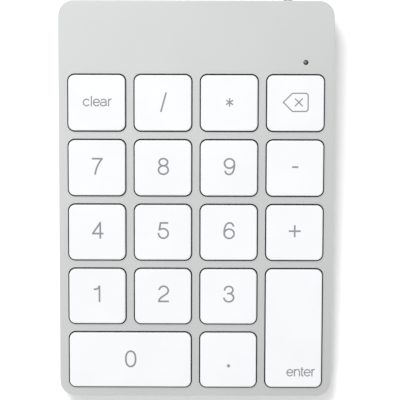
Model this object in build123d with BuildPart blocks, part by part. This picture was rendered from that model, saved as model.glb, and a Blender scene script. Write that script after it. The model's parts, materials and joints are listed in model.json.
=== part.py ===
from build123d import *
from math import atan2, cos, degrees, hypot, radians, sin, tan
import os

# A slim wireless numeric keypad: a tilted aluminium deck with eighteen island keys, each on a
# scissor and a rubber dome, over a wedge-shaped plastic base that holds the board and the cell.
# The row frame is +X right, +Y to the rear, +Z up, with the origin under the middle of its box.
# Key heights are given along the normal of the deck: 0 is the top of the deck, minus is inside.

# ---- driving dimensions (mm) ----
PITCH = 19.05  # spacing of the keys across, the standard of full-size keyboards
ROW_PITCH = 18.75  # spacing of the rows
COLUMNS = 4
ROWS = 5
OPENING = 17.04  # hole in the deck for one key, across
OPENING_DEEP = 16.8  # the same up the slope
OPENING_CORNER = 2.15
CAP_GAP = 0.37  # from a key to the edge of its opening, across
CAP_GAP_DEEP = 0.43
RIM = 2.555  # deck beside the outer keys
FRONT_RIM = 2.48
HEAD = 20.93  # deck behind the rear keys
TILT = 3.0  # slope of the deck, degrees
FRONT_HEIGHT = 4.6  # case height at the front edge
FOOT_HEIGHT = 0.6  # how far the feet stand out

# deck and case
CASE_CORNER = 4.5
DECK_THICK = 1.0
LIP_DEPTH = 3.2
LIP_WALL = 1.2
EDGE_ROUND = 0.15
BASE_INSET = 0.25
BASE_WALL = 1.8
BASE_FLOOR = 1.0
BASE_EDGE = 0.5
TONGUE_RISE = 1.0
TONGUE_CLEAR = 0.1

# keys
CAP_TOP = 1.0
CAP_THICK = 0.45
CAP_WALL = 0.8
SKIRT_LOW = -0.4
CAP_CORNER = 1.8
CAP_EDGE = 0.35
PLUNGER_RADIUS = 1.7
PLUNGER_LOW = 0.2

# switch stack under the keys
MEMBRANE_TOP = -2.6
MEMBRANE_THICK = 0.25
PLATE_THICK = 0.4
PLATE_MARGIN = 0.35  # base plate beyond the outer openings
PLATE_CORNER = 2.5

# scissors and the hooks and clips that hold them
BAR_RADIUS = 0.4
BAR_HOLE = 0.45
BAR_LOW = -2.15
BAR_HIGH = 0.1
LINK_REACH = 5.2
LINK_THICK = 0.8
OUTER_ARM_AT = 6.4
INNER_ARM_AT = 5.3
ARM_WIDE = 1.0
PIN_RADIUS = 0.35
PIN_HOLE = 0.4
PIVOT_EYE = 0.8
CLIP_AT = 3.6
CLIP_WIDE = 1.2
CLIP_LONG = 1.8
CLIP_LOW = -0.3
HOOK_LONG = 1.3
HOOK_TOP = -1.85
SLOT_MARGIN = 0.4  # membrane around a hook

# stabiliser wires of the long keys
WIRE_HALF = 13.0
WIRE_OFFSET = -6.7
WIRE_REACH = 4.4
WIRE_PIN = 1.6
WIRE_HOOK_AT = 9.5
WIRE_SLIDE = 0.5

# rubber domes
DOME_BASE = 3.3
DOME_CROWN = 1.7
DOME_TOP = 0.15
DOME_WALL = 0.3
DOME_POST = 0.8
DOME_POST_LOW = -1.3

# screws
BOSS_RADIUS = 1.4
BOSS_PILOT = 0.7
BOSS_PILOT_TOP = -1.3
PLATE_SCREW_RADIUS = 0.65
PLATE_SCREW_TOP = -1.4
PLATE_HEAD_RADIUS = 1.2
PLATE_HEAD_THICK = 0.4
CASE_SCREW_TOP = -1.4
CASE_HEAD_RADIUS = 1.4
CASE_HEAD_THICK = 0.6
CASE_SEAT = -5.0
POST_RADIUS = 2.3
POST_BORE = 0.8
POST_COUNTERBORE = 1.6
CROSS_WIDE = 0.3
CROSS_LONG = 1.3
CROSS_DEEP = 0.2
REAR_POST = (34.6, 58.9)
REAR_BOSS_RADIUS = 1.8

# board and what it carries
BOARD_TOP = -3.2
BOARD_THICK = 0.8
BOARD_HALF = 37.2
BOARD_FRONT = 47.1
BOARD_REAR = 64.1
BOARD_CORNER = 2.4
BOARD_HOLE = 1.2
RADIO_AT = (-22.0, 55.4)
RADIO_BOARD = (15.0, 9.5, 0.6)
RADIO_CAN = (10.0, 8.0, 1.1)
RADIO_CAN_SHIFT = 2.0
RADIO_CAN_ROUND = 0.3
TAIL_HALF = 5.0
TAIL_THICK = 0.15
TAIL_LOW = -2.8
TAIL_AT = -4.0
SOCKET_FPC = (12.0, 2.6, 1.0)
SOCKET_FPC_FRONT = 49.9
LED_AT = (31.48, 49.19)
LED_BODY = (1.6, 1.0, 0.5)
LED_HOLE = 0.75
GUIDE_AT = (31.31, 49.31)  # the tip sits a little off the middle of its hole
GUIDE_RADIUS = 0.49
GUIDE_FLANGE = 1.5
GUIDE_FLANGE_THICK = 0.5
GUIDE_LOW = -2.65
GUIDE_CROWN = 0.2

# charging socket
SOCKET_WIDE = 7.5
SOCKET_HIGH = 2.6
SOCKET_FRONT = 60.5
SOCKET_MOUTH = 66.1
SOCKET_SHELL = 0.3
SOCKET_DEEP = 4.8
SOCKET_CHAMFER = 0.9
SOCKET_TONGUE = (4.0, 0.6)
SOCKET_TONGUE_SHORT = 0.9
PORT_WIDE = 8.6
PORT_HIGH = 3.5
PORT_CORNER = 1.2

# power switch
KNOB_AT = 26.235
KNOB_WIDE = 2.37
KNOB_HIGH = 1.2
KNOB_PROUD = 1.0
KNOB_GROOVE = 0.75
KNOB_GROOVE_DEEP = 0.8
KNOB_ROUND = 0.12
SWITCH_TRAVEL = 2.0  # towards the left
SWITCH_HIGH = -1.85  # middle of the knob
SWITCH_GAP = 0.15
SLOT_HIGH = 1.5
SLOT_CORNER = 0.3
HOUSING_WIDE = 7.4
HOUSING_FRONT = 61.5
HOUSING_REAR = 65.3
HOUSING_TOP = -1.1
STEM_WIDE = 1.8
STEM_HIGH = 0.8
SHOE_WIDE = 3.0
SHOE_LONG = 1.6
SHOE_HIGH = 1.0
HOUSING_SKIN = 0.5
NOTCH_HALF = 4.6

# battery
CELL = (38.0, 30.0, 3.0)
CELL_FRONT = 12.5
CELL_ROUND = 1.2
TAPE_THICK = 0.1
TAPE_INSET = 3.0
WIRE_RADIUS = 0.45
WIRE_SPACING = 1.4
CONNECTOR = (4.6, 3.6, 2.0)
CONNECTOR_AT = (-13.0, 51.9)
LEAD_END_GAP = 0.02

# feet
FOOT_RADIUS = 4.0
FOOT_SUNK = 0.4
FOOT_EDGE = 0.15
FOOT_X = 31.0
FOOT_FRONT_V = -41.8
FOOT_REAR_X = 26.5
FOOT_REAR_V = 57.4
FOOT_CLEAR = 0.1

# ---- derived ----
CAP = OPENING - 2 * CAP_GAP
CAP_DEEP = OPENING_DEEP - 2 * CAP_GAP_DEEP
CAP_CEILING = CAP_TOP - CAP_THICK
WIDTH = (COLUMNS - 1) * PITCH + OPENING + 2 * RIM
KEYS_LONG = (ROWS - 1) * ROW_PITCH + OPENING_DEEP
FRONT_V = -KEYS_LONG / 2 - FRONT_RIM
REAR_V = KEYS_LONG / 2 + HEAD
LENGTH = REAR_V - FRONT_V
MIDDLE_V = (REAR_V + FRONT_V) / 2
MEMBRANE_LOW = MEMBRANE_TOP - MEMBRANE_THICK
PLATE_LOW = MEMBRANE_LOW - PLATE_THICK
PLATE_WIDE = (COLUMNS - 1) * PITCH + OPENING + 2 * PLATE_MARGIN
PLATE_LONG = KEYS_LONG + 2 * PLATE_MARGIN
PIN_AT = (BAR_LOW + BAR_HIGH) / 2
LINK_RISE = BAR_HIGH - PIN_AT
LINK_LONG = 2 * hypot(LINK_REACH, LINK_RISE)
LINK_ANGLE = degrees(atan2(LINK_RISE, LINK_REACH))
BOARD_LOW = BOARD_TOP - BOARD_THICK
SOCKET_MIDDLE = (0, BOARD_LOW - SOCKET_HIGH / 2)

# The deck's own plane: local x to the right, local y up the slope, origin at the middle key.
# Its place puts the origin of the row frame under the middle of the whole keypad, knob included.
slope = radians(TILT)
knob_low = SWITCH_HIGH - KNOB_HIGH / 2
front_y = FRONT_V * cos(slope) + EDGE_ROUND * sin(slope)
rear_y = (REAR_V + KNOB_PROUD) * cos(slope) - knob_low * sin(slope)
DECK_Y = -(front_y + rear_y) / 2
DECK_Z = FOOT_HEIGHT + FRONT_HEIGHT - FRONT_V * sin(slope)
DECK = Plane(origin=(0, DECK_Y, DECK_Z), x_dir=(1, 0, 0), z_dir=(0, -sin(slope), cos(slope)))
UP = Axis(DECK.origin, DECK.z_dir)


def row_y(v):
    """Row-frame y of a point on the deck, v up its slope."""
    return DECK_Y + v * cos(slope)


def key_plane(x, v, turned=False):
    """Deck plane moved to a key's middle, turned a quarter for a key that is long up the slope."""
    across = DECK.y_dir if turned else DECK.x_dir
    return Plane(origin=DECK.from_local_coords((x, v, 0)), x_dir=across, z_dir=DECK.z_dir)


def side_plane(base, x):
    """Plane across a base plane at x, on which a sketch's axes are the base's y and its normal."""
    origin = base.from_local_coords((x, 0, 0))
    return Plane(origin=origin, x_dir=base.y_dir, z_dir=base.x_dir)


def rear_plane(v):
    """Plane facing the rear at v, on which a sketch's axes are minus x and the deck's normal."""
    origin = DECK.from_local_coords((0, v, 0))
    return Plane(origin=origin, x_dir=-DECK.x_dir, z_dir=DECK.y_dir)


def key_at(column, row):
    """Middle of the opening in a column and row, counted from the rear left."""
    x = (column - (COLUMNS - 1) / 2) * PITCH
    return x, ((ROWS - 1) / 2 - row) * ROW_PITCH


# name: column, row, length in pitches, turned
KEYS = {
    "clear": (0, 0, 1, False),
    "divide": (1, 0, 1, False),
    "multiply": (2, 0, 1, False),
    "delete": (3, 0, 1, False),
    "7": (0, 1, 1, False),
    "8": (1, 1, 1, False),
    "9": (2, 1, 1, False),
    "minus": (3, 1, 1, False),
    "4": (0, 2, 1, False),
    "5": (1, 2, 1, False),
    "6": (2, 2, 1, False),
    "plus": (3, 2, 1, False),
    "1": (0, 3, 1, False),
    "2": (1, 3, 1, False),
    "3": (2, 3, 1, False),
    "0": (0.5, 4, 2, False),
    "decimal": (2, 4, 1, False),
    "enter": (3, 3.5, 2, True),
}
PLANES = {name: key_plane(*key_at(c, r), turned) for name, (c, r, _, turned) in KEYS.items()}
LONG_KEYS = [name for name, (_, _, pitches, _) in KEYS.items() if pitches > 1]


def key_size(name, wide, deep):
    """Size along a key's own x and y, for a cap or opening `wide` by `deep` on a single key."""
    pitches, turned = KEYS[name][2:]
    if turned:
        return deep + (pitches - 1) * ROW_PITCH, wide
    return wide + (pitches - 1) * PITCH, deep


# Posts stand where four openings meet, in the middle of the web.
CASE_POSTS = [(-PITCH, -ROW_PITCH / 2), (PITCH, -ROW_PITCH / 2), (0, -1.5 * ROW_PITCH)]
PLATE_POSTS = [(x, v) for v in (1.5 * ROW_PITCH, ROW_PITCH / 2) for x in (-PITCH, 0, PITCH)]
PLATE_POSTS.append((0, -ROW_PITCH / 2))
REAR_POSTS = [(-REAR_POST[0], REAR_POST[1]), REAR_POST]
FEET = [(-FOOT_X, FOOT_FRONT_V), (FOOT_X, FOOT_FRONT_V)]
FEET += [(-FOOT_REAR_X, FOOT_REAR_V), (FOOT_REAR_X, FOOT_REAR_V)]

os.makedirs("parts", exist_ok=True)


# ---- aluminium deck with a shallow lip all round ----
with BuildPart() as top_case:
    with BuildSketch(DECK.offset(-LIP_DEPTH)):
        with Locations((0, MIDDLE_V)):
            RectangleRounded(WIDTH, LENGTH, CASE_CORNER)
    extrude(amount=LIP_DEPTH)
    fillet(top_case.edges().group_by(UP)[-1], EDGE_ROUND)
    with BuildSketch(DECK.offset(-LIP_DEPTH)):
        with Locations((0, MIDDLE_V)):
            RectangleRounded(WIDTH - 2 * LIP_WALL, LENGTH - 2 * LIP_WALL, CASE_CORNER - LIP_WALL)
    extrude(amount=LIP_DEPTH - DECK_THICK, mode=Mode.SUBTRACT)
    for name, plane in PLANES.items():
        with BuildSketch(plane):
            RectangleRounded(*key_size(name, OPENING, OPENING_DEEP), OPENING_CORNER)
        extrude(amount=-DECK_THICK, mode=Mode.SUBTRACT)
    with BuildSketch(DECK.offset(MEMBRANE_LOW)):
        with Locations(*CASE_POSTS, *PLATE_POSTS):
            Circle(BOSS_RADIUS)
    extrude(amount=-DECK_THICK - MEMBRANE_LOW)
    with BuildSketch(DECK.offset(BOARD_TOP)):
        with Locations(*REAR_POSTS):
            Circle(REAR_BOSS_RADIUS)
    extrude(amount=-DECK_THICK - BOARD_TOP)
    with BuildSketch(DECK.offset(BOARD_TOP)):
        with Locations(*CASE_POSTS, *PLATE_POSTS, *REAR_POSTS):
            Circle(BOSS_PILOT)
    extrude(amount=BOSS_PILOT_TOP - BOARD_TOP, mode=Mode.SUBTRACT)
    with BuildSketch(DECK):
        with Locations(LED_AT):
            Circle(LED_HOLE)
    extrude(amount=-DECK_THICK, mode=Mode.SUBTRACT)
    with BuildSketch(rear_plane(REAR_V)):
        with Locations((SWITCH_TRAVEL / 2 - KNOB_AT, SWITCH_HIGH)):
            slot_wide = KNOB_WIDE + SWITCH_TRAVEL + 2 * SWITCH_GAP
            RectangleRounded(slot_wide, SLOT_HIGH, SLOT_CORNER)
    extrude(amount=-LIP_WALL, mode=Mode.SUBTRACT)
top_case.part.label = "top_case"
export_step(top_case.part, "parts/top_case.step")

# ---- plastic base: a wedge-shaped tray with a tongue inside the deck's lip ----
floor_plane = Plane.XY.offset(FOOT_HEIGHT)
base_deep = REAR_V * tan(slope) + DECK_Z
hollow = 2 * (BASE_INSET + BASE_WALL)
with BuildPart() as cover_hollow:
    with BuildSketch(DECK.offset(-LIP_DEPTH + TONGUE_RISE)):
        with Locations((0, MIDDLE_V)):
            RectangleRounded(WIDTH - hollow, LENGTH - hollow, CASE_CORNER - BASE_WALL)
    extrude(amount=-base_deep)
    split(bisect_by=floor_plane.offset(BASE_FLOOR), keep=Keep.TOP)

with BuildPart() as cover_posts:
    with BuildSketch(DECK.offset(PLATE_LOW)):
        with Locations(*CASE_POSTS):
            Circle(POST_RADIUS)
    extrude(amount=-base_deep)
    with BuildSketch(DECK.offset(BOARD_LOW)):
        with Locations(*REAR_POSTS):
            Circle(POST_RADIUS)
    extrude(amount=-base_deep)
    split(bisect_by=floor_plane.offset(BASE_FLOOR / 2), keep=Keep.TOP)

tongue = 2 * (LIP_WALL + TONGUE_CLEAR)
with BuildPart() as bottom_cover:
    with BuildSketch(DECK.offset(-LIP_DEPTH)):
        with Locations((0, MIDDLE_V)):
            RectangleRounded(WIDTH - 2 * BASE_INSET, LENGTH - 2 * BASE_INSET, CASE_CORNER)
    extrude(amount=-base_deep)
    with BuildSketch(DECK.offset(-LIP_DEPTH)):
        with Locations((0, MIDDLE_V)):
            RectangleRounded(WIDTH - tongue, LENGTH - tongue, CASE_CORNER - LIP_WALL)
    extrude(amount=TONGUE_RISE)
    split(bisect_by=floor_plane, keep=Keep.TOP)
    fillet(bottom_cover.faces().sort_by(Axis.Z)[0].outer_wire().edges(), BASE_EDGE)
    add(cover_hollow.part, mode=Mode.SUBTRACT)
    add(cover_posts.part)
    with BuildSketch(DECK):
        with Locations(*CASE_POSTS, *REAR_POSTS):
            Circle(POST_BORE)
    extrude(amount=-base_deep, mode=Mode.SUBTRACT)
    with BuildSketch(DECK.offset(CASE_SEAT)):
        with Locations(*CASE_POSTS, *REAR_POSTS):
            Circle(POST_COUNTERBORE)
    extrude(amount=-base_deep, mode=Mode.SUBTRACT)
    with BuildSketch(floor_plane):
        with Locations(*[(x, row_y(v)) for x, v in FEET]):
            Circle(FOOT_RADIUS + FOOT_CLEAR)
    extrude(amount=FOOT_SUNK, mode=Mode.SUBTRACT)
    with BuildSketch(rear_plane(REAR_V)):
        with Locations(SOCKET_MIDDLE):
            RectangleRounded(PORT_WIDE, PORT_HIGH, PORT_CORNER)
    extrude(amount=-BASE_INSET - BASE_WALL, mode=Mode.SUBTRACT)
    with BuildSketch(DECK.offset(-LIP_DEPTH)):
        with Locations((KNOB_AT - SWITCH_TRAVEL / 2, REAR_V - BASE_WALL)):
            Rectangle(2 * NOTCH_HALF, 2 * BASE_WALL)
    extrude(amount=TONGUE_RISE, mode=Mode.SUBTRACT)
bottom_cover.part.label = "bottom_cover"
export_step(bottom_cover.part, "parts/bottom_cover.step")

# ---- steel base plate with snap hooks for the scissors and the stabiliser wires ----
with BuildPart() as base_plate:
    with BuildSketch(DECK.offset(PLATE_LOW)):
        RectangleRounded(PLATE_WIDE, PLATE_LONG, PLATE_CORNER)
    extrude(amount=PLATE_THICK)
    for name, plane in PLANES.items():
        hooks = [(x, y) for x in (-CLIP_AT, CLIP_AT) for y in (-LINK_REACH, LINK_REACH)]
        if name in LONG_KEYS:
            hooks += [(-WIRE_HOOK_AT, WIRE_OFFSET), (WIRE_HOOK_AT, WIRE_OFFSET)]
        with BuildSketch(plane.offset(MEMBRANE_LOW)):
            with Locations(*hooks):
                Rectangle(CLIP_WIDE, HOOK_LONG)
        extrude(amount=HOOK_TOP - MEMBRANE_LOW)
        with BuildSketch(side_plane(plane, 0)):
            with Locations((-LINK_REACH, BAR_LOW), (LINK_REACH, BAR_LOW)):
                Circle(BAR_HOLE)
        extrude(amount=CLIP_AT + CLIP_WIDE, both=True, mode=Mode.SUBTRACT)
        if name in LONG_KEYS:
            with BuildSketch(side_plane(plane, 0)):
                with Locations((WIRE_OFFSET, BAR_LOW)):
                    Circle(BAR_HOLE)
            extrude(amount=WIRE_HALF, both=True, mode=Mode.SUBTRACT)
    with BuildSketch(DECK.offset(PLATE_LOW)):
        with Locations(*CASE_POSTS, *PLATE_POSTS):
            Circle(POST_BORE)
    extrude(amount=PLATE_THICK, mode=Mode.SUBTRACT)
base_plate.part.label = "base_plate"
export_step(base_plate.part, "parts/base_plate.step")

# ---- key-matrix membrane with its tail to the board ----
with BuildPart() as membrane:
    with BuildSketch(DECK.offset(MEMBRANE_LOW)):
        RectangleRounded(PLATE_WIDE, PLATE_LONG, PLATE_CORNER)
        with Locations(*CASE_POSTS, *PLATE_POSTS):
            Circle(BOSS_RADIUS + SLOT_MARGIN / 2, mode=Mode.SUBTRACT)
    extrude(amount=MEMBRANE_THICK)
    for name, plane in PLANES.items():
        hooks = [(x, y) for x in (-CLIP_AT, CLIP_AT) for y in (-LINK_REACH, LINK_REACH)]
        if name in LONG_KEYS:
            hooks += [(-WIRE_HOOK_AT, WIRE_OFFSET), (WIRE_HOOK_AT, WIRE_OFFSET)]
        with BuildSketch(plane.offset(MEMBRANE_LOW)):
            with Locations(*hooks):
                Rectangle(CLIP_WIDE + SLOT_MARGIN, HOOK_LONG + SLOT_MARGIN)
        extrude(amount=MEMBRANE_THICK, mode=Mode.SUBTRACT)
    with BuildSketch(DECK.offset(TAIL_LOW)):
        with Locations((TAIL_AT, PLATE_LONG / 2)):
            Rectangle(2 * TAIL_HALF, SOCKET_FPC_FRONT - PLATE_LONG / 2, align=(Align.CENTER, Align.MIN))
    extrude(amount=TAIL_THICK)
membrane.part.label = "membrane"
export_step(membrane.part, "parts/membrane.step")


# ---- keycaps ----
def keycap(name):
    """Hollow cap with a dome plunger and four snap clips that hold the scissor's upper bars."""
    plane = PLANES[name]
    long, wide = key_size(name, CAP, CAP_DEEP)
    clips = [(x, y) for x in (-CLIP_AT, CLIP_AT) for y in (-LINK_REACH, LINK_REACH)]
    with BuildPart() as cap:
        with BuildSketch(plane.offset(SKIRT_LOW)):
            RectangleRounded(long, wide, CAP_CORNER)
        extrude(amount=CAP_TOP - SKIRT_LOW)
        fillet(cap.edges().group_by(UP)[-1], CAP_EDGE)
        with BuildSketch(plane.offset(SKIRT_LOW)):
            RectangleRounded(long - 2 * CAP_WALL, wide - 2 * CAP_WALL, CAP_CORNER - CAP_WALL)
        extrude(amount=CAP_CEILING - SKIRT_LOW, mode=Mode.SUBTRACT)
        with BuildSketch(plane.offset(CLIP_LOW)):
            with Locations(*clips):
                Rectangle(CLIP_WIDE, CLIP_LONG)
        extrude(amount=CAP_CEILING - CLIP_LOW)
        with BuildSketch(side_plane(plane, 0)):
            with Locations((-LINK_REACH, BAR_HIGH), (LINK_REACH, BAR_HIGH)):
                Circle(BAR_HOLE)
        extrude(amount=CLIP_AT + CLIP_WIDE, both=True, mode=Mode.SUBTRACT)
        with BuildSketch(plane.offset(PLUNGER_LOW)):
            Circle(PLUNGER_RADIUS)
        extrude(amount=CAP_CEILING - PLUNGER_LOW)
        if name in LONG_KEYS:
            pin_v = WIRE_OFFSET + WIRE_REACH + WIRE_SLIDE / 2
            pin_x = WIRE_HALF - WIRE_PIN
            with BuildSketch(plane.offset(CLIP_LOW)):
                with Locations((-pin_x, pin_v), (pin_x, pin_v)):
                    Rectangle(CLIP_WIDE, CLIP_LONG + WIRE_SLIDE)
            extrude(amount=CAP_CEILING - CLIP_LOW)
            for side in (-1, 1):
                with BuildSketch(side_plane(plane, side * pin_x)):
                    with Locations((pin_v, BAR_HIGH)):
                        SlotCenterToCenter(WIRE_SLIDE, 2 * BAR_HOLE)
                extrude(amount=CLIP_WIDE, both=True, mode=Mode.SUBTRACT)
    return cap


for name in KEYS:
    cap = keycap(name)
    cap.part.label = f"key_{name}"
    export_step(cap.part, f"parts/key_{name}.step")


# ---- scissors ----
def link(plane, arm_at, angle, ends):
    """One link: two flat arms with an eye at the crossing pin, and a round bar across each end."""
    half = arm_at + ARM_WIDE / 2
    with BuildPart() as frame:
        for side in (-1, 1):
            with BuildSketch(side_plane(plane, side * arm_at - ARM_WIDE / 2)):
                with Locations(Location((0, PIN_AT), angle)):
                    SlotOverall(LINK_LONG + LINK_THICK, LINK_THICK)
                    Circle(PIVOT_EYE)
            extrude(amount=ARM_WIDE)
        with BuildSketch(side_plane(plane, -half)):
            with Locations(*ends):
                Circle(BAR_RADIUS)
        extrude(amount=2 * half)
    return frame


def scissor(name):
    """Outer and inner link, which cross on two pins that stand out from the inner one."""
    plane = PLANES[name]
    outer_ends = [(-LINK_REACH, BAR_LOW), (LINK_REACH, BAR_HIGH)]
    inner_ends = [(-LINK_REACH, BAR_HIGH), (LINK_REACH, BAR_LOW)]
    with BuildPart() as outer:
        add(link(plane, OUTER_ARM_AT, LINK_ANGLE, outer_ends).part)
        with BuildSketch(side_plane(plane, 0)):
            with Locations((0, PIN_AT)):
                Circle(PIN_HOLE)
        extrude(amount=OUTER_ARM_AT + ARM_WIDE, both=True, mode=Mode.SUBTRACT)
    with BuildPart() as inner:
        add(link(plane, INNER_ARM_AT, -LINK_ANGLE, inner_ends).part)
        for side in (-1, 1):
            with BuildSketch(side_plane(plane, side * INNER_ARM_AT)):
                with Locations((0, PIN_AT)):
                    Circle(PIN_RADIUS)
            extrude(amount=side * (OUTER_ARM_AT - INNER_ARM_AT + ARM_WIDE / 2))
    return Compound(children=[outer.part, inner.part])


for name in KEYS:
    pair = scissor(name)
    pair.label = f"scissor_{name}"
    export_step(pair, f"parts/scissor_{name}.step")


# ---- stabiliser wires ----
def stabiliser(name):
    """Bent wire: a long rod in the base plate's hooks, two arms, and two pins in the cap."""
    plane = PLANES[name]
    low = plane.offset(BAR_LOW)
    high = plane.offset(BAR_HIGH)
    tip = WIRE_OFFSET + WIRE_REACH
    inside = WIRE_HALF - 2 * WIRE_PIN
    with BuildPart() as wire:
        with BuildLine() as path:
            Polyline(
                high.from_local_coords((-inside, tip, 0)),
                high.from_local_coords((-WIRE_HALF, tip, 0)),
                low.from_local_coords((-WIRE_HALF, WIRE_OFFSET, 0)),
                low.from_local_coords((WIRE_HALF, WIRE_OFFSET, 0)),
                high.from_local_coords((WIRE_HALF, tip, 0)),
                high.from_local_coords((inside, tip, 0)),
            )
        with BuildSketch(side_plane(plane, -inside)):
            with Locations((tip, BAR_HIGH)):
                Circle(BAR_RADIUS)
        sweep(path=path.line, transition=Transition.ROUND)
    return wire


for name in LONG_KEYS:
    wire = stabiliser(name)
    wire.part.label = f"stabiliser_{name}"
    export_step(wire.part, f"parts/stabiliser_{name}.step")

# ---- rubber domes, one under each key ----
with BuildPart() as rubber_domes:
    for plane in PLANES.values():
        with BuildSketch(side_plane(plane, 0)):
            with BuildLine():
                Polyline(
                    (0, DOME_TOP),
                    (DOME_CROWN, DOME_TOP),
                    (DOME_BASE - 2 * DOME_WALL, MEMBRANE_TOP + DOME_WALL),
                    (DOME_BASE, MEMBRANE_TOP + DOME_WALL),
                    (DOME_BASE, MEMBRANE_TOP),
                    (DOME_BASE - 3 * DOME_WALL, MEMBRANE_TOP),
                    (DOME_CROWN - DOME_WALL, DOME_TOP - 2 * DOME_WALL),
                    (DOME_POST, DOME_TOP - 2 * DOME_WALL),
                    (DOME_POST, DOME_POST_LOW),
                    (0, DOME_POST_LOW),
                    close=True,
                )
            make_face()
        revolve(axis=Axis(plane.origin, plane.z_dir))
rubber_domes.part.label = "rubber_domes"
export_step(rubber_domes.part, "parts/rubber_domes.step")

# ---- main board ----
with BuildPart() as main_board:
    with BuildSketch(DECK.offset(BOARD_LOW)):
        with Locations((0, (BOARD_FRONT + BOARD_REAR) / 2)):
            RectangleRounded(2 * BOARD_HALF, BOARD_REAR - BOARD_FRONT, BOARD_CORNER)
        with Locations(*REAR_POSTS):
            Circle(BOARD_HOLE, mode=Mode.SUBTRACT)
    extrude(amount=BOARD_THICK)
main_board.part.label = "main_board"
export_step(main_board.part, "parts/main_board.step")

# ---- radio module: its own small board under a shield can ----
with BuildPart() as radio_module:
    with BuildSketch(DECK.offset(BOARD_TOP)):
        with Locations(RADIO_AT):
            Rectangle(RADIO_BOARD[0], RADIO_BOARD[1])
    extrude(amount=RADIO_BOARD[2])
    with BuildSketch(DECK.offset(BOARD_TOP + RADIO_BOARD[2])):
        with Locations((RADIO_AT[0] + RADIO_CAN_SHIFT, RADIO_AT[1])):
            Rectangle(RADIO_CAN[0], RADIO_CAN[1])
    extrude(amount=RADIO_CAN[2])
    fillet(radio_module.faces().sort_by(UP)[-1].outer_wire().edges(), RADIO_CAN_ROUND)
radio_module.part.label = "radio_module"
export_step(radio_module.part, "parts/radio_module.step")

# ---- connector that takes the membrane's tail ----
with BuildPart() as tail_connector:
    with BuildSketch(DECK.offset(BOARD_TOP)):
        with Locations((TAIL_AT, SOCKET_FPC_FRONT)):
            Rectangle(SOCKET_FPC[0], SOCKET_FPC[1], align=(Align.CENTER, Align.MIN))
    extrude(amount=SOCKET_FPC[2])
tail_connector.part.label = "tail_connector"
export_step(tail_connector.part, "parts/tail_connector.step")

# ---- status light: a chip on the board and a clear guide up through the deck ----
with BuildPart() as status_led:
    with BuildSketch(DECK.offset(BOARD_TOP)):
        with Locations(LED_AT):
            Rectangle(LED_BODY[0], LED_BODY[1])
    extrude(amount=LED_BODY[2])
status_led.part.label = "status_led"
export_step(status_led.part, "parts/status_led.step")

with BuildPart() as light_guide:
    with BuildSketch(DECK.offset(GUIDE_LOW)):
        with Locations(GUIDE_AT):
            Circle(GUIDE_RADIUS)
    extrude(amount=-GUIDE_LOW)
    fillet(light_guide.faces().sort_by(UP)[-1].outer_wire().edges(), GUIDE_CROWN)
    with BuildSketch(DECK.offset(-DECK_THICK - GUIDE_FLANGE_THICK)):
        with Locations(LED_AT):
            Circle(GUIDE_FLANGE)
    extrude(amount=GUIDE_FLANGE_THICK)
light_guide.part.label = "light_guide"
export_step(light_guide.part, "parts/light_guide.step")

# ---- charging socket under the board, mouth to the rear ----
def socket_profile(v, shell=0.0):
    """Outline of the socket at v, `shell` inside its skin, with both lower corners cut off."""
    with BuildSketch(rear_plane(v)) as profile:
        with Locations(SOCKET_MIDDLE):
            Rectangle(SOCKET_WIDE, SOCKET_HIGH)
        chamfer(profile.vertices().group_by(Axis.Y)[0], SOCKET_CHAMFER)
        if shell:
            offset(amount=-shell, kind=Kind.INTERSECTION)
    return profile.sketch


with BuildPart() as charge_socket:
    extrude(socket_profile(SOCKET_FRONT), amount=SOCKET_MOUTH - SOCKET_FRONT)
    extrude(socket_profile(SOCKET_MOUTH, SOCKET_SHELL), amount=-SOCKET_DEEP, mode=Mode.SUBTRACT)
    with BuildSketch(rear_plane(SOCKET_MOUTH - SOCKET_DEEP)):
        with Locations(SOCKET_MIDDLE):
            Rectangle(*SOCKET_TONGUE)
    extrude(amount=SOCKET_DEEP - SOCKET_TONGUE_SHORT)
charge_socket.part.label = "charge_socket"
export_step(charge_socket.part, "parts/charge_socket.step")

# ---- power switch ----
switch_middle = KNOB_AT - SWITCH_TRAVEL / 2
with BuildPart() as switch_housing:
    with BuildSketch(DECK.offset(BOARD_TOP)):
        with Locations((switch_middle, HOUSING_FRONT)):
            Rectangle(HOUSING_WIDE, HOUSING_REAR - HOUSING_FRONT, align=(Align.CENTER, Align.MIN))
    extrude(amount=HOUSING_TOP - BOARD_TOP)
    with BuildSketch(rear_plane(HOUSING_REAR - HOUSING_SKIN)):
        with Locations((-switch_middle, SWITCH_HIGH)):
            Rectangle(SHOE_WIDE + SWITCH_TRAVEL + 2 * SWITCH_GAP, SHOE_HIGH + SWITCH_GAP)
    extrude(amount=-SHOE_LONG - SWITCH_GAP, mode=Mode.SUBTRACT)
    with BuildSketch(rear_plane(HOUSING_REAR)):
        with Locations((-switch_middle, SWITCH_HIGH)):
            Rectangle(STEM_WIDE + SWITCH_TRAVEL + 2 * SWITCH_GAP, STEM_HIGH + SWITCH_GAP)
    extrude(amount=-HOUSING_SKIN, mode=Mode.SUBTRACT)
switch_housing.part.label = "switch_housing"
export_step(switch_housing.part, "parts/switch_housing.step")

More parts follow.
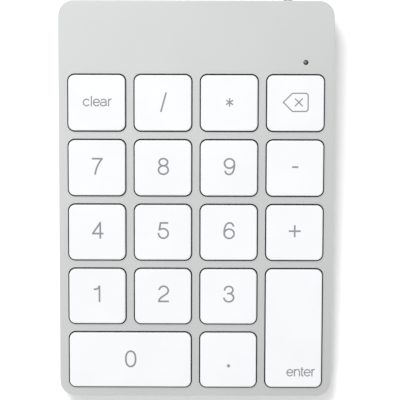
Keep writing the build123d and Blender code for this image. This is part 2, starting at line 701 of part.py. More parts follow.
shoe_rear = HOUSING_REAR - HOUSING_SKIN - SWITCH_GAP / 2
knob_front = REAR_V - LIP_WALL + SWITCH_GAP
with BuildPart() as switch_slider:
    with BuildSketch(rear_plane(shoe_rear)):
        with Locations((-KNOB_AT, SWITCH_HIGH)):
            Rectangle(SHOE_WIDE, SHOE_HIGH)
    extrude(amount=-SHOE_LONG)
    with BuildSketch(rear_plane(shoe_rear)):
        with Locations((-KNOB_AT, SWITCH_HIGH)):
            Rectangle(STEM_WIDE, STEM_HIGH)
    extrude(amount=knob_front - shoe_rear)
    with BuildSketch(rear_plane(knob_front)):
        with Locations((-KNOB_AT, SWITCH_HIGH)):
            RectangleRounded(KNOB_WIDE, KNOB_HIGH, KNOB_ROUND)
    extrude(amount=REAR_V + KNOB_PROUD - knob_front)
    with BuildSketch(rear_plane(REAR_V + KNOB_PROUD)):
        with Locations((-KNOB_AT, SWITCH_HIGH)):
            Rectangle(KNOB_GROOVE, 2 * KNOB_HIGH)
    extrude(amount=-KNOB_GROOVE_DEEP, mode=Mode.SUBTRACT)
switch_slider.part.label = "switch_slider"
export_step(switch_slider.part, "parts/switch_slider.step")

# ---- battery on the floor, its tape and its lead ----
cell_middle = row_y(CELL_FRONT) + CELL[1] / 2
tape_low = FOOT_HEIGHT + BASE_FLOOR
with BuildPart() as battery_tape:
    with BuildSketch(Plane.XY.offset(tape_low)):
        with Locations((0, cell_middle)):
            Rectangle(CELL[0] - 2 * TAPE_INSET, CELL[1] - 2 * TAPE_INSET)
    extrude(amount=TAPE_THICK)
battery_tape.part.label = "battery_tape"
export_step(battery_tape.part, "parts/battery_tape.step")

with BuildPart() as battery:
    with BuildSketch(Plane.XY.offset(tape_low + TAPE_THICK)):
        with Locations((0, cell_middle)):
            RectangleRounded(CELL[0], CELL[1], CELL_ROUND)
    extrude(amount=CELL[2])
    fillet(battery.edges().filter_by(Plane.XY), CELL_ROUND)
battery.part.label = "battery"
export_step(battery.part, "parts/battery.step")

with BuildPart() as battery_connector:
    with BuildSketch(DECK.offset(BOARD_LOW)):
        with Locations(CONNECTOR_AT):
            Rectangle(CONNECTOR[0], CONNECTOR[1])
    extrude(amount=-CONNECTOR[2])
battery_connector.part.label = "battery_connector"
export_step(battery_connector.part, "parts/battery_connector.step")

with BuildPart() as battery_lead:
    for shift in (-WIRE_SPACING / 2, WIRE_SPACING / 2):
        x = CONNECTOR_AT[0] + shift
        start = (x, cell_middle + CELL[1] / 2 + LEAD_END_GAP, tape_low + TAPE_THICK + CELL[2] / 2)
        front_v = CONNECTOR_AT[1] - CONNECTOR[1] / 2 - LEAD_END_GAP
        end = DECK.from_local_coords((x, front_v, BOARD_LOW - CONNECTOR[2] / 2))
        with BuildLine() as path:
            Spline(start, end, tangents=[(0, 1, 0), DECK.y_dir])
        with BuildSketch(Plane(origin=start, x_dir=(1, 0, 0), z_dir=(0, 1, 0))):
            Circle(WIRE_RADIUS)
        sweep(path=path.line)
battery_lead.part.label = "battery_lead"
export_step(battery_lead.part, "parts/battery_lead.step")


# ---- screws ----
def screw_set(places, seat, top, head_radius, head_thick, shank_radius):
    """Cross-head screws driven from below: heads under `seat`, shanks up to `top`."""
    with BuildPart() as screws:
        with BuildSketch(DECK.offset(seat)):
            with Locations(*places):
                Circle(head_radius)
        extrude(amount=-head_thick)
        with BuildSketch(DECK.offset(seat)):
            with Locations(*places):
                Circle(shank_radius)
        extrude(amount=top - seat)
        with BuildSketch(DECK.offset(seat - head_thick)):
            with Locations(*places):
                Rectangle(CROSS_LONG, CROSS_WIDE)
                Rectangle(CROSS_WIDE, CROSS_LONG)
        extrude(amount=CROSS_DEEP, mode=Mode.SUBTRACT)
    return screws


plate_sizes = (PLATE_HEAD_RADIUS, PLATE_HEAD_THICK, PLATE_SCREW_RADIUS)
plate_screws = screw_set(PLATE_POSTS, PLATE_LOW, PLATE_SCREW_TOP, *plate_sizes)
plate_screws.part.label = "plate_screws"
export_step(plate_screws.part, "parts/plate_screws.step")

case_sizes = (CASE_HEAD_RADIUS, CASE_HEAD_THICK, PLATE_SCREW_RADIUS)
case_screws = screw_set(CASE_POSTS + REAR_POSTS, CASE_SEAT, CASE_SCREW_TOP, *case_sizes)
case_screws.part.label = "case_screws"
export_step(case_screws.part, "parts/case_screws.step")

# ---- rubber feet let into the floor ----
with BuildPart() as feet:
    with BuildSketch(Plane.XY):
        with Locations(*[(x, row_y(v)) for x, v in FEET]):
            Circle(FOOT_RADIUS)
    extrude(amount=FOOT_HEIGHT + FOOT_SUNK)
    fillet(feet.edges().group_by(Axis.Z)[0], FOOT_EDGE)
feet.part.label = "feet"
export_step(feet.part, "parts/feet.step")
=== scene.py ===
import json
import math

import bmesh
import bpy
from mathutils import Matrix, Vector

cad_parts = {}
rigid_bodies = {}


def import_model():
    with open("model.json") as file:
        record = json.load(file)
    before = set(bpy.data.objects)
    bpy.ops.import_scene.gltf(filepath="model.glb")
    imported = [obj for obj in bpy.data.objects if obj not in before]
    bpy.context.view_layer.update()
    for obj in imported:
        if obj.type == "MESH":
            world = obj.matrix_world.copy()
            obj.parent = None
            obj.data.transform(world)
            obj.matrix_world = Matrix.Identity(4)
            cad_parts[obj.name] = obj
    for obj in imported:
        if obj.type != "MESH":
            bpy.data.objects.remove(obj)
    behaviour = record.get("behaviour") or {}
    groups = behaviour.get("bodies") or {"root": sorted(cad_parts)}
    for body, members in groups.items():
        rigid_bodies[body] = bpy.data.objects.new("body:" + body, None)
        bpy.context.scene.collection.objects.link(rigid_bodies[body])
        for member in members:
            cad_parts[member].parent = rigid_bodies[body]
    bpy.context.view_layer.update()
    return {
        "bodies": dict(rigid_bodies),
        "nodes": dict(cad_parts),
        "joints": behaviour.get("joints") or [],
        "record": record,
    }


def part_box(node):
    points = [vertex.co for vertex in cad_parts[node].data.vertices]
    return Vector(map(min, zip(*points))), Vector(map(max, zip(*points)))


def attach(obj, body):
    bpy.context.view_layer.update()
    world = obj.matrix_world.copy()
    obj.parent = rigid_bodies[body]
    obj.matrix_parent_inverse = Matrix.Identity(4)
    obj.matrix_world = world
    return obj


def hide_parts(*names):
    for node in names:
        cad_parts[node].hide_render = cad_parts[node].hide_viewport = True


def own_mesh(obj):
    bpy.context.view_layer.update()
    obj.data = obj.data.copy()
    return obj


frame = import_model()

MM = 0.001
NODES = frame["nodes"]
SLOTS = {row["node"]: row["material_slot"] for row in frame["record"]["subparts"]}
KEYS = [body.removeprefix("key_") for body in frame["bodies"] if body.startswith("key_")]

# ---- the deck's own axes: right, up its slope, and its normal, against which the keys are pressed ----
RIGHT = Vector((1, 0, 0))
NORMAL = next(-Vector(joint["axis"]).normalized() for joint in frame["joints"] if joint["name"] == "press_5")
SLOPE = NORMAL.cross(RIGHT)
DECK_AXES = Matrix((RIGHT, SLOPE, NORMAL))  # turns a vector of the CAD frame to the deck's axes


def span(node):
    """Lowest and highest corner of a CAD node along the deck's axes."""
    points = [DECK_AXES @ v.co for v in NODES[node].data.vertices]
    low = Vector([min(p[i] for p in points) for i in range(3)])
    high = Vector([max(p[i] for p in points) for i in range(3)])
    return low, high


def middle(node):
    """Middle of a CAD node along the deck's axes."""
    low, high = span(node)
    return (low + high) / 2


# The origin of the deck is the middle of the key grid, level with the deck's top.
ORIGIN = (middle("key_5") + middle("key_6")) / 2
ORIGIN.z = span("light_guide")[1].z


def plan(node):
    """Deck coordinates, in millimetres, of a CAD node's middle: across the deck and up its slope."""
    place = middle(node) - ORIGIN
    return place.x / MM, place.y / MM


def at(x, v, n):
    """Point of the CAD frame from deck coordinates in millimetres."""
    return DECK_AXES.transposed() @ (ORIGIN + Vector((x, v, n)) * MM)


def deck_matrix(x, v, n):
    """Places a mesh drawn in millimetres, with its own x, y, z, on the deck's axes."""
    turn = DECK_AXES.transposed().to_4x4()
    return Matrix.Translation(at(x, v, n)) @ turn @ Matrix.Scale(MM, 4)


# ---- materials ----
class Shader:
    """A node tree with short calls for the nodes that the materials here share."""

    def __init__(self, name):
        self.material = bpy.data.materials.new(name)
        self.material.use_nodes = True
        self.tree = self.material.node_tree
        self.bsdf = self.tree.nodes["Principled BSDF"]
        self.where = self.add("ShaderNodeTexCoord").outputs["Object"]

    def add(self, kind, **values):
        node = self.tree.nodes.new(kind)
        for key, value in values.items():
            setattr(node, key, value)
        return node

    def link(self, source, target):
        self.tree.links.new(source, target)

    def set(self, **values):
        """Fixed values of the finish, with _ for each space in an input's name."""
        for key, value in values.items():
            self.bsdf.inputs[key.replace("_", " ")].default_value = value

    def drive(self, **sources):
        """Inputs of the finish that follow another node, named as in set."""
        for key, source in sources.items():
            self.link(source, self.bsdf.inputs[key.replace("_", " ")])

    def noise(self, size, detail=2.0):
        """Noise whose features are about `size` metres across."""
        scale = self.add("ShaderNodeMapping")
        scale.inputs["Scale"].default_value = (1 / size, 1 / size, 1 / size)
        self.link(self.where, scale.inputs["Vector"])
        noise = self.add("ShaderNodeTexNoise")
        noise.inputs["Scale"].default_value = 1.0
        noise.inputs["Detail"].default_value = detail
        self.link(scale.outputs["Vector"], noise.inputs["Vector"])
        return noise.outputs["Fac"]

    def ranged(self, source, low, high, start=0.3, end=0.7):
        """Maps start..end of a value to low..high; most noise lies between the default ends."""
        node = self.add("ShaderNodeMapRange")
        for key, value in (("From Min", start), ("From Max", end), ("To Min", low), ("To Max", high)):
            node.inputs[key].default_value = value
        self.link(source, node.inputs["Value"])
        return node.outputs["Result"]

    def mixed(self, factor, first, second):
        """Mix of two colours, each a linear colour or another node's output."""
        node = self.add("ShaderNodeMix", data_type="RGBA")
        self.link(factor, node.inputs["Factor"])
        for socket, colour in ((node.inputs[6], first), (node.inputs[7], second)):
            if isinstance(colour, bpy.types.NodeSocket):
                self.link(colour, socket)
            else:
                socket.default_value = (*colour, 1)
        return node.outputs[2]

    def drift(self, patch, low, high):
        """Colour that wanders from low to high in patches about `patch` metres across."""
        return self.mixed(self.ranged(self.noise(patch), 0.0, 1.0), low, high)

    def bump(self, height, strength, distance):
        node = self.add("ShaderNodeBump")
        node.inputs["Strength"].default_value = strength
        node.inputs["Distance"].default_value = distance
        self.link(height, node.inputs["Height"])
        self.drive(Normal=node.outputs["Normal"])

    def edges(self, radius):
        """0 on flat faces, rising towards 1 within `radius` of an edge."""
        bevel = self.add("ShaderNodeBevel", samples=4)
        bevel.inputs["Radius"].default_value = radius
        dot = self.add("ShaderNodeVectorMath", operation="DOT_PRODUCT")
        self.link(bevel.outputs["Normal"], dot.inputs[0])
        self.link(self.add("ShaderNodeNewGeometry").outputs["Normal"], dot.inputs[1])
        return self.ranged(dot.outputs["Value"], 1.0, 0.0, start=0.8, end=0.99)


def shade(value):
    """Linear grey from an sRGB level between 0 and 255."""
    level = value / 255
    return level / 12.92 if level <= 0.04045 else ((level + 0.055) / 1.055) ** 2.4


def srgb(red, green, blue):
    """Linear colour from three sRGB levels."""
    return shade(red), shade(green), shade(blue)


MATERIALS = {}
GRAIN_DETAIL = 3.0
GRAIN_STRENGTH = 0.35
# width of the painted highlight along edges
PAINTED_HIGHLIGHT_WIDTH = 0.2 * MM


def finish(name, low, high, rough, metallic=0.0, grain=0.2, depth=0.005, patch=20, painted_edge_highlight=None):
    """Surface that drifts from low to high colour in patches, with fine grain and a range of roughness.

    The sizes of the grain and the patches, and the grain's depth, are in millimetres. The colour given for
    edges is a painted highlight: a lighter colour painted along every edge.
    """
    s = Shader(name)
    colour = s.drift(patch * MM, low, high)
    # painted highlight: a lighter colour mixed in along every edge
    if painted_edge_highlight:
        colour = s.mixed(s.edges(PAINTED_HIGHLIGHT_WIDTH), colour, painted_edge_highlight)
    fine = s.noise(grain * MM, GRAIN_DETAIL)
    s.set(Metallic=metallic)
    s.drive(Base_Color=colour, Roughness=s.ranged(fine, *rough))
    s.bump(fine, GRAIN_STRENGTH, depth * MM)
    MATERIALS[name] = s.material


# Outside
# the edge colour srgb(242, 243, 243) is a painted highlight along every edge of the case
finish("anodised_aluminium", srgb(233, 235, 234), srgb(237, 239, 238), (0.3, 0.38), metallic=0.78,
       grain=0.12, depth=0.004, patch=30, painted_edge_highlight=srgb(242, 243, 243))
finish("key_plastic", srgb(220, 221, 223), srgb(223, 224, 226), (0.38, 0.46),
       grain=0.18, depth=0.003, patch=12)
finish("legend_ink", srgb(127, 130, 132), srgb(133, 136, 138), (0.5, 0.6), grain=0.08, depth=0.002)
finish("base_plastic", srgb(214, 215, 215), srgb(219, 220, 220), (0.5, 0.62), grain=0.35, depth=0.02)
finish("foot_rubber", srgb(58, 58, 60), srgb(68, 68, 70), (0.75, 0.9), grain=0.4, depth=0.03)
finish("screw_steel", srgb(170, 170, 172), srgb(184, 184, 186), (0.25, 0.35), metallic=1.0)
finish("plated_socket", srgb(214, 214, 210), srgb(226, 226, 222), (0.18, 0.28), metallic=1.0)
finish("switch_plastic", srgb(92, 94, 97), srgb(104, 106, 109), (0.4, 0.55))
# Key mechanism
finish("link_plastic", srgb(34, 34, 36), srgb(42, 42, 44), (0.35, 0.45))
finish("steel_sheet", srgb(188, 190, 192), srgb(200, 202, 204), (0.3, 0.45), metallic=1.0)
finish("polyester_film", srgb(18, 18, 20), srgb(26, 26, 28), (0.15, 0.25))
finish("dome_silicone", srgb(226, 228, 226), srgb(236, 238, 236), (0.4, 0.5))
finish("spring_wire", srgb(196, 196, 196), srgb(208, 208, 208), (0.2, 0.3), metallic=1.0)
# Electronics
finish("circuit_board", srgb(20, 88, 50), srgb(28, 102, 60), (0.25, 0.4))
finish("shield_can", srgb(205, 205, 200), srgb(216, 216, 212), (0.25, 0.35), metallic=1.0)
finish("switch_metal", srgb(198, 198, 194), srgb(210, 210, 206), (0.25, 0.35), metallic=1.0)
finish("connector_plastic", srgb(232, 226, 210), srgb(238, 233, 220), (0.4, 0.5))
finish("led_chip", srgb(232, 226, 190), srgb(240, 236, 206), (0.15, 0.25))
# Battery
finish("cell_pouch", srgb(200, 202, 204), srgb(212, 214, 216), (0.25, 0.4), metallic=1.0)
finish("foam_tape", srgb(40, 40, 42), srgb(52, 52, 54), (0.7, 0.9))
finish("sealing_tape", srgb(150, 92, 30), srgb(166, 104, 36), (0.2, 0.35))
finish("wire_insulation", srgb(170, 24, 24), srgb(190, 34, 30), (0.35, 0.5))
finish("black_insulation", srgb(22, 22, 24), srgb(30, 30, 32), (0.35, 0.5))

TIP_DEPTH = 0.1 * MM  # points of the light guide this near its top are its tip
TIP_EDGE = (0.5 * MM, 0.56 * MM)  # from the middle of the tip, where its pale patch ends and the painted shade begins


def smoked_lens():
    """Pale tip of the light guide; the rest of it, down in its hole, and a ring round the pale patch are
    painted almost black as painted shade of the hole.
    """
    s = Shader("smoked_lens")
    top = span("light_guide")[1].z
    points = [v.co for v in NODES["light_guide"].data.vertices]
    tip = [p for p in points if (DECK_AXES @ p).z > top - TIP_DEPTH]
    away = s.add("ShaderNodeVectorMath", operation="DISTANCE")
    away.inputs[1].default_value = sum(tip, Vector()) / len(tip)
    s.link(s.where, away.inputs[0])
    pale = s.drift(0.4 * MM, srgb(92, 98, 98), srgb(106, 112, 112))
    # painted shade: beyond the pale patch the guide is painted near black, standing in for the shade down in
    # the hole
    painted_hole_shade = s.ranged(away.outputs["Value"], 0.0, 1.0, *TIP_EDGE)
    s.drive(Base_Color=s.mixed(painted_hole_shade, pale, srgb(18, 20, 21)))
    s.set(Roughness=0.16, Coat_Weight=1.0, Coat_Roughness=0.06)
    MATERIALS["smoked_lens"] = s.material


smoked_lens()
for node, slot in SLOTS.items():
    mesh = NODES[node].data
    mesh.materials.clear()
    mesh.materials.append(MATERIALS[slot])


# ---- key legends: light strokes drawn in millimetres about each legend's middle ----
ARC_STEP = 6  # degrees
ARC_STEPS_LEAST = 6
CURVE_STEPS = 16


def line(*points):
    """Centre line through the given points."""
    return [Vector(p) for p in points]


def arc(x, y, wide, tall, start, end, power=2.0):
    """Part of a (super)ellipse with half sizes wide and tall, from start to end in degrees."""
    steps = max(ARC_STEPS_LEAST, round(abs(end - start) / ARC_STEP))
    points = []
    for i in range(steps + 1):
        angle = math.radians(start + (end - start) * i / steps)
        c, s = math.cos(angle), math.sin(angle)
        reach = (abs(c) ** power + abs(s) ** power) ** (-1 / power)
        points.append(Vector((x + wide * c * reach, y + tall * s * reach)))
    return points


def curve(*controls):
    """Bezier curve of any degree through its first and last control."""
    points = []
    for i in range(CURVE_STEPS + 1):
        t = i / CURVE_STEPS
        row = [Vector(c) for c in controls]
        while len(row) > 1:
            row = [a.lerp(b, t) for a, b in zip(row, row[1:])]
        points.append(row[0])
    return points


def turned(strokes):
    """The same strokes turned half round, as a 9 is a turned 6."""
    return [[-p for p in stroke] for stroke in strokes]


FLAT = 2.195  # centre line of a flat top or foot
ROUND = 2.265  # centre line of a round top or foot, which overshoots
SIX = [
    arc(0.0, -0.915, 1.43, 1.35, 0, 360),
    curve((-1.43, -0.915), (-1.5, 1.0), (-0.9, 2.26), (0.1, ROUND))
    + curve((0.1, ROUND), (0.72, 2.26), (1.17, 1.86), (1.25, 1.2))[1:],
]
GLYPHS = {
    "0": [arc(0, 0, 1.42, ROUND, 0, 360, 2.25)],
    "1": [
        line((0.48, -2.43), (0.48, 2.4)),
        line((-1.15, 1.32), (-0.75, 1.34)) + curve((-0.75, 1.34), (-0.1, 1.38), (0.32, 1.6), (0.42, 2.4))[1:],
    ],
    "2": [
        arc(0.1, 0.95, 1.33, 1.315, 172, 0)
        + curve((1.43, 0.95), (1.43, -0.35), (-1.2, -0.75), (-1.27, -2.1))[1:],
        line((-1.52, -FLAT), (1.64, -FLAT)),
    ],
    "3": [
        arc(-0.02, 1.22, 1.2, 1.045, 190, -90),
        line((-0.52, 0.175), (-0.02, 0.175)),
        arc(-0.02, -1.045, 1.4, 1.22, 90, -182),
    ],
    "4": [
        line((0.78, 2.43), (0.78, -2.43)),
        line((0.78, 2.2), (-1.42, -0.97)),
        line((-1.6, -0.97), (1.7, -0.97)),
    ],
    "5": [
        line((1.4, FLAT), (-0.86, FLAT)),
        line((-0.78, 2.42), (-1.2, 0.02)),
        curve((-1.2, 0.1), (-0.85, 0.4), (-0.5, 0.52), (0, 0.5)) + arc(0, -0.88, 1.4, 1.385, 88, -188),
    ],
    "6": SIX,
    "7": [
        line((-1.56, FLAT), (1.62, FLAT)),
        curve((1.42, FLAT), (0.5, 1.25), (-0.45, -0.6), (-0.62, -2.43)),
    ],
    "8": [arc(0, 1.235, 1.22, 1.03, 0, 360), arc(0, -1.03, 1.4, 1.235, 0, 360)],
    "9": turned(SIX),
    "plus": [line((-1.74, 0), (1.74, 0)), line((0, -1.78), (0, 1.78))],
    "minus": [line((-0.91, 0), (0.91, 0))],
    "divide": [line((-0.77, -2.8), (0.77, 2.8))],
    "multiply": [
        line((0, -1.2), (0, 1.2)),
        line((-1.0, -0.64), (1.0, 0.64)),
        line((-1.0, 0.64), (1.0, -0.64)),
    ],
}
X_TALL = 0.94  # half the height of a small letter's centre line
LETTERS = {
    "c": [arc(0, 0, 0.9, X_TALL, 35, 325)],
    "l": [line((0, -1.1), (0, 1.85))],
    "e": [line((-0.87, 0.02), (0.85, 0.02)), arc(0, 0, 0.87, X_TALL, 0, 325)],
    "a": [
        arc(0, 0.39, 0.72, 0.55, 165, 0) + line((0.72, 0.39), (0.74, -0.64), (0.95, -0.97)),
        curve((0.72, 0.17), (0.4, 0.02), (-0.84, 0.18), (-0.84, -0.42))
        + arc(-0.1, -0.42, 0.74, 0.52, 180, 270)
        + curve((-0.1, -0.94), (0.35, -0.94), (0.7, -0.7), (0.73, -0.33))[1:],
    ],
    "r": [line((0, -1.1), (0, 1.1)), curve((0, 0.25), (0.1, 0.88), (0.45, 0.99), (0.85, 0.94))],
    "n": [
        line((0, -1.1), (0, 1.1)),
        curve((0, 0.2), (0.1, 1.12), (1.45, 1.3), (1.46, 0.15)) + line((1.46, -1.1)),
    ],
    "t": [
        line((0, 1.65), (0, -0.55)) + curve((0, -0.55), (0.0, -0.97), (0.2, -0.97), (0.5, -0.92))[1:],
        line((-0.38, 0.95), (0.5, 0.95)),
    ],
}


def word(*letters):
    """Strokes of a word from (letter, x) pairs."""
    return [[p + Vector((x, 0)) for p in stroke] for letter, x in letters for stroke in LETTERS[letter]]


def erase_mark():
    """Five-sided tag that points left, with a cross inside."""
    half, tip, right, corner, shoulder = 2.6, -3.5, 3.65, 0.75, -0.85
    outline = line((tip, 0), (shoulder, half)) + line((right - corner, half))
    outline += arc(right - corner, half - corner, corner, corner, 90, 0)
    outline += arc(right - corner, corner - half, corner, corner, 0, -90)
    outline += line((shoulder, -half), (tip, 0))
    centre, reach = 0.98, 1.12
    cross = [line((centre - reach, side * reach), (centre + reach, -side * reach)) for side in (-1, 1)]
    return [outline, *cross]


# Widths of the strokes
DIGIT_STROKE = 0.51
SLASH_STROKE = 0.48
STAR_STROKE = 0.39
SMALL_STROKE = 0.35
CLEAR = word(("c", -2.9), ("l", -1.49), ("e", 0.0), ("a", 1.98), ("r", 3.44))
ENTER = word(("e", -0.97), ("n", 0.36), ("t", 2.5), ("e", 4.1), ("r", 5.45))
DIGIT_ACROSS = 0.13
# key: strokes, stroke width, middle of the legend from the middle of the key
LEGENDS = {
    "clear": (CLEAR, SMALL_STROKE, (0, 0.1)),
    "divide": (GLYPHS["divide"], SLASH_STROKE, (0.16, 0.24)),
    "multiply": (GLYPHS["multiply"], STAR_STROKE, (0.1, 0.22)),
    "delete": (erase_mark(), SMALL_STROKE, (-0.06, 0.29)),
    "minus": (GLYPHS["minus"], DIGIT_STROKE, (0.04, 0.38)),
    "plus": (GLYPHS["plus"], DIGIT_STROKE, (0.06, 0.52)),
    "0": (GLYPHS["0"], DIGIT_STROKE, (DIGIT_ACROSS, 0.31)),
    "enter": (ENTER, SMALL_STROKE, (0, -13.04)),
}
for names, height in (("789", 0.475), ("456", 0.625), ("123", 0.775)):
    for name in names:
        LEGENDS[name] = (GLYPHS[name], DIGIT_STROKE, (DIGIT_ACROSS, height))
DOT_RADIUS = 0.48
DOT_PLACE = (0.12, -1.69)
DOT_STEPS = 32

LEGEND_SINK = 0.02  # ink below the surface of the cap
LEGEND_RISE = 0.012  # ink above it
SAME_POINT = 1e-6
MITRE_LEAST = 0.4  # cosine that limits how far a sharp bend's corner reaches


def ribbon(stroke, width):
    """Closed flat band along a stroke, with mitred bends and square ends."""
    bm = bmesh.new()
    stroke = stroke[:1] + [p for before, p in zip(stroke, stroke[1:]) if (p - before).length > SAME_POINT]
    closed = (stroke[0] - stroke[-1]).length < SAME_POINT
    points = stroke[:-1] if closed else stroke
    count = len(points)
    lefts, rights = [], []
    for i, point in enumerate(points):
        before = points[i - 1] if closed or i else None
        after = points[(i + 1) % count] if closed or i < count - 1 else None
        incoming = (point - before).normalized() if before is not None else (after - point).normalized()
        outgoing = (after - point).normalized() if after is not None else incoming
        along = (incoming + outgoing).normalized()
        side = Vector((-along.y, along.x))
        mitre = 1 / max(MITRE_LEAST, along.dot(outgoing))
        lefts.append(point + side * width / 2 * mitre)
        rights.append(point - side * width / 2 * mitre)
    rows = []
    for height in (-LEGEND_SINK, LEGEND_RISE):
        rows.append([[bm.verts.new((p.x, p.y, height)) for p in edge] for edge in (lefts, rights)])
    (low_left, low_right), (high_left, high_right) = rows
    steps = count if closed else count - 1
    for i in range(steps):
        j = (i + 1) % count
        bm.faces.new((high_left[i], high_right[i], high_right[j], high_left[j]))
        bm.faces.new((low_right[i], low_left[i], low_left[j], low_right[j]))
        bm.faces.new((low_left[i], high_left[i], high_left[j], low_left[j]))
        bm.faces.new((high_right[i], low_right[i], low_right[j], high_right[j]))
    if not closed:
        bm.faces.new((low_left[0], low_right[0], high_right[0], high_left[0]))
        bm.faces.new((low_right[-1], low_left[-1], high_left[-1], high_right[-1]))
    return bm


def new_piece(name, bm, slot, material=None):
    """Object from a bmesh, with outward normals and a material, the slot's own finish unless another is
    given.
    """
    bmesh.ops.recalc_face_normals(bm, faces=bm.faces)
    mesh = bpy.data.meshes.new(name)
    bm.to_mesh(mesh)
    bm.free()
    piece = bpy.data.objects.new(name, mesh)
    bpy.context.scene.collection.objects.link(piece)
    mesh.materials.append(material or MATERIALS[slot])
    return piece


def union(name, bands, slot, material):
    """One closed mesh from closed bands that may overlap."""
    pieces = [new_piece(f"{name}_{i}", bm, slot, material) for i, bm in enumerate(bands)]
    whole = pieces[0]
    whole.name = name
    for other in pieces[1:]:
        join = whole.modifiers.new("join", "BOOLEAN")
        join.operation = "UNION"
        join.solver = "EXACT"
        join.object = other
    bpy.context.view_layer.update()
    evaluated = whole.evaluated_get(bpy.context.evaluated_depsgraph_get())
    mesh = bpy.data.meshes.new_from_object(evaluated)
    whole.modifiers.clear()
    whole.data = mesh
    for other in pieces[1:]:
        bpy.data.objects.remove(other)
    return whole


def disc(radius):
    """Closed flat disc of ink."""
    bm = bmesh.new()
    bmesh.ops.create_cone(bm, cap_ends=True, segments=DOT_STEPS, radius1=radius, radius2=radius,
                          depth=LEGEND_SINK + LEGEND_RISE)
    bmesh.ops.translate(bm, verts=bm.verts, vec=(0, 0, (LEGEND_RISE - LEGEND_SINK) / 2))
    return bm


def legend(key):
    """Printed legend on a keycap, riding on the key."""
    if key == "decimal":
        bands, (dx, dv) = [disc(DOT_RADIUS)], DOT_PLACE
    else:
        strokes, width, (dx, dv) = LEGENDS[key]
        bands = [ribbon(stroke, width) for stroke in strokes]
    piece = union("legend_" + key, bands, "key_plastic", MATERIALS["legend_ink"])
    x, v = plan("key_" + key)
    top = span("key_" + key)[1].z
    piece.data.transform(deck_matrix(x + dx, v + dv, (top - ORIGIN.z) / MM))
    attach(piece, "key_" + key)


for key in KEYS:
    legend(key)


# ---- key mechanism: scissors that fold and domes under their keys ----
DOME_FOOT = -2.6  # foot of a dome below the deck's top, in millimetres
DOME_STEPS = 32
# Half section of a dome, as radius and height above its foot: from the middle of its crown, down the
# outside of the bell, under the foot, up the inside and down to the end of the post.
DOME_SECTION = [
    (0.0, 2.75), (1.45, 2.75), (1.62, 2.7), (1.7, 2.55), (1.72, 2.2), (1.82, 1.85), (2.1, 1.35), (2.6, 0.8),
    (2.95, 0.48), (3.2, 0.35), (3.9, 0.32), (4.05, 0.24), (4.1, 0.0), (3.1, 0.0), (2.85, 0.2), (2.4, 0.6),
    (1.9, 1.12), (1.55, 1.65), (1.42, 2.1), (1.3, 2.35), (0.95, 2.4), (0.8, 2.25), (0.78, 1.42), (0.7, 1.32),
    (0.0, 1.3),
]


def scissor(key):
    """Scissor of one key, as a piece that can fold."""
    node = NODES["scissor_" + key]
    piece = bpy.data.objects.new("scissor_link_" + key, node.data.copy())
    bpy.context.scene.collection.objects.link(piece)
    piece.matrix_world = node.matrix_world
    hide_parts("scissor_" + key)
    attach(piece, "scissor_" + key)
    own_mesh(piece)


def dome(key):
    """Silicone dome with a thin bell, a foot and an inner post."""
    bm = bmesh.new()
    rings = []
    for radius, height in DOME_SECTION:
        steps = DOME_STEPS if radius else 1
        angles = [math.tau * i / steps for i in range(steps)]
        rings.append([bm.verts.new((radius * math.cos(a), radius * math.sin(a), height)) for a in angles])
    for upper, lower in zip(rings, rings[1:]):
        for i in range(DOME_STEPS):
            j = (i + 1) % DOME_STEPS
            corners = [ring[k % len(ring)] for ring, k in ((upper, i), (lower, i), (lower, j), (upper, j))]
            bm.faces.new(dict.fromkeys(corners))  # a triangle where one ring is a single point
    for face in bm.faces:
        face.smooth = True
    piece = new_piece("dome_" + key, bm, "dome_silicone")
    foot = (*plan("key_" + key), DOME_FOOT)
    piece.data.transform(deck_matrix(*foot))
    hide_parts("rubber_domes")
    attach(piece, "case")
    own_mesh(piece)


for key in KEYS:
    scissor(key)
    dome(key)


# ---- battery pouch and its two strands, in millimetres ----
CORNER_STEP = 15  # degrees
CORNER_STEPS = 6
POUCH_CORNER = 1.2
POUCH_SOFT = 0.5  # how far the soft upper and lower edges reach
TERRACE = 3.2  # depth of the sealed strip at the rear of the cell
TERRACE_UNDER = 0.4  # part of the strip inside the pouch
TERRACE_INSET = 1.5  # from each side of the cell
TERRACE_HEIGHTS = (1.1, 1.9)  # above the underside of the cell
TERRACE_CORNER = 0.3
TERRACE_SOFT = 0.2
SHARPEST = 0.01  # least radius that a corner keeps


def rounded_slab(low, high, corner, soft):
    """Flat pillow between two corners, with rounded plan corners and soft upper and lower edges."""
    bm = bmesh.new()
    cx, cy = (low[0] + high[0]) / 2, (low[1] + high[1]) / 2
    half_x, half_y = (high[0] - low[0]) / 2 - corner, (high[1] - low[1]) / 2 - corner
    thick = high[2] - low[2]
    near = soft / 4
    outline = ((soft, 0), (near, near), (0, soft), (0, thick - soft), (near, thick - near), (soft, thick))
    rings = []
    for inset, height in outline:
        reach = max(corner - inset, SHARPEST)
        ring = []
        for quarter, (sx, sy) in enumerate(((1, 1), (-1, 1), (-1, -1), (1, -1))):
            for i in range(CORNER_STEPS + 1):
                angle = math.radians(90 * quarter + CORNER_STEP * i)
                ring.append(bm.verts.new((cx + sx * half_x + reach * math.cos(angle),
                                          cy + sy * half_y + reach * math.sin(angle), low[2] + height)))
        rings.append(ring)
    for lower, upper in zip(rings, rings[1:]):
        for i in range(len(lower)):
            j = (i + 1) % len(lower)
            bm.faces.new((lower[i], lower[j], upper[j], upper[i]))
    bm.faces.new(rings[0])
    bm.faces.new(rings[-1])
    return bm


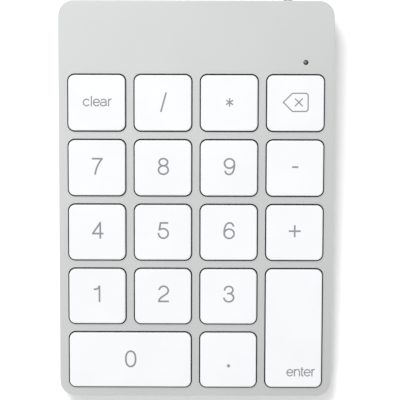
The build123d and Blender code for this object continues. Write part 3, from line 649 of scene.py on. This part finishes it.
def battery_pouch():
    """Foil pouch, with a sealed terrace under brown tape at its rear."""
    low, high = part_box("battery")
    low, high = [c / MM for c in low], [c / MM for c in high]
    pouch = rounded_slab(low, (high[0], high[1] - TERRACE, high[2]), POUCH_CORNER, POUCH_SOFT)
    seal_low = (low[0] + TERRACE_INSET, high[1] - TERRACE - TERRACE_UNDER, low[2] + TERRACE_HEIGHTS[0])
    seal_high = (high[0] - TERRACE_INSET, high[1], low[2] + TERRACE_HEIGHTS[1])
    seal = rounded_slab(seal_low, seal_high, TERRACE_CORNER, TERRACE_SOFT)
    pieces = (new_piece("battery_pouch", pouch, "cell_pouch"),
              new_piece("battery_terrace", seal, "foam_tape", MATERIALS["sealing_tape"]))
    for piece in pieces:
        piece.data.transform(Matrix.Scale(MM, 4))
        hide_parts("battery")
        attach(piece, "case")


def battery_strands():
    """Gives the right-hand strand of the lead black insulation; the other one stays red."""
    lead = NODES["battery_lead"].data
    lead.materials.append(MATERIALS["black_insulation"])
    low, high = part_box("battery_lead")
    for polygon in lead.polygons:
        polygon.material_index = int(polygon.center.x > (low[0] + high[0]) / 2)


battery_pouch()
battery_strands()


# ---- stage, lights and camera ----
FLOOR_SIZE = 3.0  # metres from the middle to each side


def stage_floor():
    """Pale matt paper under the keypad."""
    bm = bmesh.new()
    bmesh.ops.create_grid(bm, x_segments=1, y_segments=1, size=FLOOR_SIZE)
    mesh = bpy.data.meshes.new("floor")
    bm.to_mesh(mesh)
    bm.free()
    floor = bpy.data.objects.new("floor", mesh)
    bpy.context.scene.collection.objects.link(floor)
    s = Shader("floor_paper")
    s.drive(Base_Color=s.drift(0.4, (0.9, 0.9, 0.9), (0.92, 0.92, 0.92)))
    s.set(Roughness=0.9, Specular_IOR_Level=0.2)
    mesh.materials.append(s.material)


def soft_light(name, place, size, watts):
    """Round lamp aimed at the middle of the keypad, which shiny surfaces don't mirror."""
    light = bpy.data.lights.new(name, "AREA")
    light.shape = "DISK"
    light.size = size
    light.energy = watts
    lamp = bpy.data.objects.new(name, light)
    bpy.context.scene.collection.objects.link(lamp)
    lamp.location = place
    lamp.rotation_euler = (-Vector(place)).to_track_quat("-Z", "Y").to_euler()
    lamp.visible_glossy = False


def studio_world(strength, slope, low, high):
    """Even white surroundings that shiny surfaces see as brighter towards the rear left.

    Slope says how fast it brightens that way; low and high bound it, as shares of strength.
    """
    world = bpy.data.worlds.new("studio")
    world.use_nodes = True
    tree = world.node_tree
    background = tree.nodes["Background"]
    background.inputs["Color"].default_value = (1.0, 1.0, 1.0, 1)
    across = tree.nodes.new("ShaderNodeVectorMath")
    across.operation = "DOT_PRODUCT"
    across.inputs[1].default_value = (-slope, slope, 0)
    tree.links.new(tree.nodes.new("ShaderNodeTexCoord").outputs["Generated"], across.inputs[0])
    scaled = tree.nodes.new("ShaderNodeMapRange")
    ends = {"From Min": low - 1, "From Max": high - 1, "To Min": strength * low, "To Max": strength * high}
    for key, value in ends.items():
        scaled.inputs[key].default_value = value
    tree.links.new(across.outputs["Value"], scaled.inputs["Value"])
    choice = tree.nodes.new("ShaderNodeMix")
    choice.inputs["A"].default_value = strength
    tree.links.new(tree.nodes.new("ShaderNodeLightPath").outputs["Is Glossy Ray"], choice.inputs["Factor"])
    tree.links.new(scaled.outputs["Result"], choice.inputs["B"])
    tree.links.new(choice.outputs["Result"], background.inputs["Strength"])
    bpy.context.scene.world = world


stage_floor()
soft_light("key_light", place=Vector((-0.32, 0.72, 0.95)).normalized() * 1.4, size=0.62, watts=13.5)
soft_light("front_fill", place=(-0.5, -1.0, 0.6), size=0.9, watts=1.5)
studio_world(strength=0.8, slope=1.9, low=0.45, high=1.2)

SENSOR = 36.0
LENS = 147.48
DISTANCE = 475.48  # millimetres from the deck
LEAN, YAW, ROLL = 6.178, -0.091, -0.157  # degrees
AIM = (1.214, 9.358)  # millimetres off the middle of the key grid, across the view


def photo_camera():
    """Long lens almost square to the deck, leaning a little towards its rear edge."""
    camera = bpy.data.cameras.new("camera")
    camera.sensor_width = SENSOR
    camera.lens = LENS
    camera.clip_start = 0.01
    eye = bpy.data.objects.new("camera", camera)
    bpy.context.scene.collection.objects.link(eye)
    turn = (Matrix.Rotation(math.radians(ROLL), 3, "Z") @ Matrix.Rotation(math.radians(YAW), 3, "Y")
            @ Matrix.Rotation(math.radians(LEAN), 3, "X")).transposed()
    place = turn @ Vector((*AIM, DISTANCE))
    axes = DECK_AXES.transposed() @ turn
    eye.matrix_world = Matrix.Translation(at(*place)) @ axes.to_4x4()
    bpy.context.scene.camera = eye


photo_camera()
bpy.context.scene.view_settings.view_transform = "Standard"
